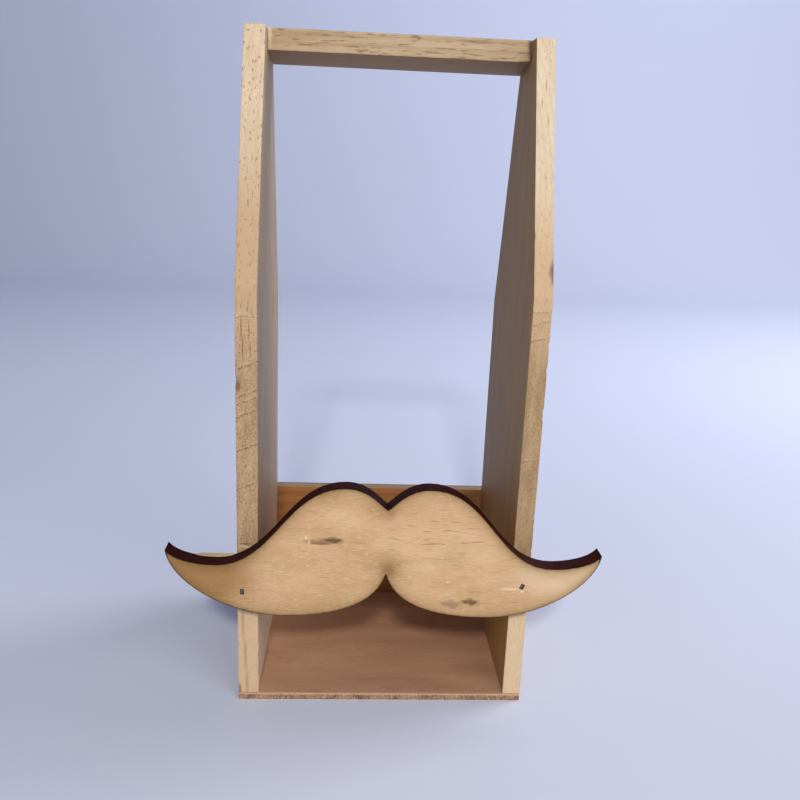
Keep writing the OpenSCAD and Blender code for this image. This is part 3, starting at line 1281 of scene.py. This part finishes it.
def main() -> None:
    """Builds the stand, sub-assembly by sub-assembly, and the studio round it."""
    logging.basicConfig(level=logging.INFO, format="%(name)s: %(message)s")
    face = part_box("moustache_panel")[0].y / MM
    left_pith, right_pith = (0, 42, 30), (0, -45, 36)
    # The inner faces' coats are darker than the outer faces' coats: partly the boards' own tone,
    # partly painted shade.
    inner_left_lit_and_shaded = PlanedPine(
        "planed pine left", Grain.ALONG_Z, "b9a180", "9c7e60", left_pith, 2.4, 0.05,
        blotches=0.5, fibres=0.25, relief=0.03,
        # A painted pool of light on the lower inner face.
        marks=(Mark((-56, -20, 8), (9, 90, 52), "f6e6cc", 0.9, 0.15),))
    # The right inner face's coat is darker than its outer face's coat: partly the board's own tone,
    # partly painted shade.
    inner_right_shaded = PlanedPine(
        "planed pine right", Grain.ALONG_Z, "aa854e", "8c6a38", right_pith, 3.4,
        0.05, blotches=0.5, fibres=0.25, relief=0.03)
    # The clean cuts darken towards the bend: partly the wood's tone, partly painted shade.
    cut_left = PlanedPine(
        "clean cut left", Grain.ALONG_Z, "e0cbac", "c4a27a", left_pith, 3.4, 0.2,
        dashes=0.65, dash_size=0.88, low_shade="b8966c", low_from=268, low_to=205,
        marks=(Mark((-62.6, -40, 178.6), (5.5, 20, 1.6), "d2b188", 0.5),))
    cut_right = PlanedPine(
        "clean cut right", Grain.ALONG_Z, "e6d6b8", "c8a47c", right_pith, 2.4, 0.2,
        dashes=0.25, low_shade="c49e72", low_from=250, low_to=196,
        marks=(
            Mark((64.7, -46.5, 197), (2.2, 5, 8), "5f4430", 0.85),
            Mark((61, -25, 273), (0.5, 9, 4), "a5825c", 0.7),
            Mark((59.4, -27, 266), (0.45, 9, 3.4), "a5825c", 0.6),
            Mark((62, -30, 259), (0.45, 9, 4), "ab8a64", 0.6)))
    sawn_left = SawnPine(
        "sawn left", Grain.ALONG_Z, "c5a680", "aa8c68", left_pith, 177.5, -60.4,
        (156.5, 144.5, 141.5, 136, 121, 104), "dfc09a", 0.6,
        marks=(
            Mark((-63.9, -52, 147.8), (1.7, 3, 3.8), "7c5c36", 0.85, 0.35),
            Mark((-62.4, -52, 172), (0.4, 3, 7), "806040", 0.85, 0.2),
            Mark((-61.8, -52, 163.5), (0.4, 3, 7), "806040", 0.85, 0.2),
            Mark((-59.2, -52, 171.5), (0.38, 3, 6), "806040", 0.8, 0.2),
            Mark((-58.7, -52, 164), (0.35, 3, 5), "806040", 0.8, 0.2),
            Mark((-61.5, -52, 77.2), (4.0, 3, 0.5), "7d5c3c", 0.8, 0.3),
            Mark((-61.2, -52, 75.8), (4.2, 3, 0.9), "e0c8a0", 0.6, 0.3),
            Mark((-62.6, -52, 38), (1.1, 3, 12), "b8946c", 0.7, 0.35),
            Mark((-61.6, -52, 22), (1.1, 3, 12), "b8946c", 0.75, 0.35),
            Mark((-60.9, -52, 8), (1.1, 3, 10), "b8946c", 0.7, 0.35)))
    sawn_right = SawnPine(
        "sawn right", Grain.ALONG_Z, "bb9f77", "a3845d", right_pith, 183, 60.9,
        (185.5, 178, 171, 118), "e8cca4", 0.4, slant=0.2, speck=0.3,
        upper_shade="deba90")
    outer_left = PlanedPine("outer face left", Grain.ALONG_Z, "cdb18c", "a98862", left_pith, 3.8, 0.4)
    outer_right = PlanedPine(
        "outer face right", Grain.ALONG_Z, "d0b38b", "ab895f", right_pith, 3.4, 0.4)
    end_grain = PlanedPine("end grain", Grain.ALONG_Z, "dcc09a", "b48e66", (0, 30, 20), 1.8, 0.6)
    rail_face = PlanedPine(
        "rail face", Grain.ALONG_X, "c3ab87", "9c7c56", (0, 30, -270), 2.6, 0.35,
        dashes=0.75, dash_size=1.05, dash_colour="86623e", blotches=0.55,
        marks=(
            # A painted shadow at the rail's right end, where it meets the right board.
            Mark((57.0, -9, 288), (2.6, 9, 9), "4c2e1a", 0.95),
            Mark((-55, -9, 290), (1.3, 9, 6), "dcc29c", 0.7),
            Mark((33, -9, 291), (12, 9, 1.0), "86643f", 0.6),
            Mark((-20, -9, 290.6), (9, 9, 0.8), "94704c", 0.5)))
    # The rail's underside takes a darker copy of the rail's pine: painted shade.
    rail_underside_shaded = PlanedPine(
        "rail underside, painted shade", Grain.ALONG_X, "a07c4e", "826238", (0, 20, -270), 2.6, 0.3,
        # A painted shadow along the joint at the right end of the underside.
        marks=(Mark((57.2, 10, 284), (1.6, 30, 4), "4a2a18", 0.95),))
    back_face = PlanedPine(
        "back board face", Grain.ALONG_X, "ac733c", "885424", (0, 40, -30), 3.6, 0.45,
        # A painted shadow darkens the right end of the back board's face.
        marks=(Mark((56, 45, 56), (18, 9, 22), "5a381a", 0.75, 0.2),))
    back_edge = PlanedPine(
        "back board edge", Grain.ALONG_X, "a58d70", "80664a", (0, 40, -30), 3.0, 0.4)
    veneer = Veneer("moustache veneer", face, marks=(
        Mark((-27.6, face, 82.6), (11, 4, 1.9), "98744a", 0.8, 0.7),
        Mark((-22.8, face, 83.3), (5.6, 4, 1.8), "62451f", 0.9, 0.7),
        Mark((-29, face, 81.8), (6, 4, 0.8), "7c5a34", 0.8, 0.5),
        Mark((-33.2, face, 82.4), (0.7, 4, 1.7), "f2d8ac", 0.6, 0.5),
        Mark((-34.6, face, 84.4), (0.7, 4, 1.7), "f2d8ac", 0.6, 0.5),
        Mark((29.2, face, 53.7), (6.4, 4, 2.7), "9a7d60", 0.8, 0.9),
        Mark((37.6, face, 54.9), (5.2, 4, 2.1), "664a20", 0.9, 0.9),
        Mark((60.2, face, 60.5), (1.2, 4, 0.8), "f4e6cc", 0.6, 0.3),
        Mark((54.5, face, 61.6), (6.5, 4, 0.8), "eed4a8", 0.7, 0.4),
        # The left wing's darker patch is partly toasted veneer, partly painted shade.
        Mark((-82, face, 66), (36, 9, 20), "9a6f38", 0.8, 0.3),
        # The right wing's pale patch is painted light.
        Mark((78, face, 67), (30, 9, 14), "ecd0a6", 0.6, 0.3)))
    rear_veneer = Veneer("rear veneer", face, pale="cdbb94", deep="a8956c", blush="cbb49a")
    base_face = ThinPly("base face", "c9a081", "b58a6c")
    base_edge = ThinPly("base edge", "a88464", "8a664c", edge=True)

    end = end_grain.material()
    charred = CharredPly().material()
    veneer_coat = veneer.material()
    SideBoard("left_side", -1, 3.1, 1.1 * MM, 177.5 * MM,
              [inner_left_lit_and_shaded.material(), cut_left.material(), sawn_left.material(), end,
               outer_left.material()],
              chips=((5, 3.5, 0.9), (150, 2.5, 0.35), (108, 2, 0.3))).build()
    SideBoard("right_side", 1, 8.4, 0.4 * MM, 183 * MM,
              [inner_right_shaded.material(), cut_right.material(), sawn_right.material(), end,
               outer_right.material()],
              saw_depth=0.12 * MM, chips=((236, 2.5, 0.3), (140, 2, 0.25))).build()
    TopRail([rail_underside_shaded.material(), rail_face.material()]).build()
    BackBoard([back_face.material(), back_edge.material()]).build()
    BaseBoard([base_face.material(), base_edge.material()]).build()
    MoustachePanel([veneer_coat, charred]).build()
    TornVeneer([rear_veneer.material()]).build()
    Brads(DarkSteel().material()).dress()
    Studio(PaleSheet().material()).build()


if __name__ == "__main__":
    main()
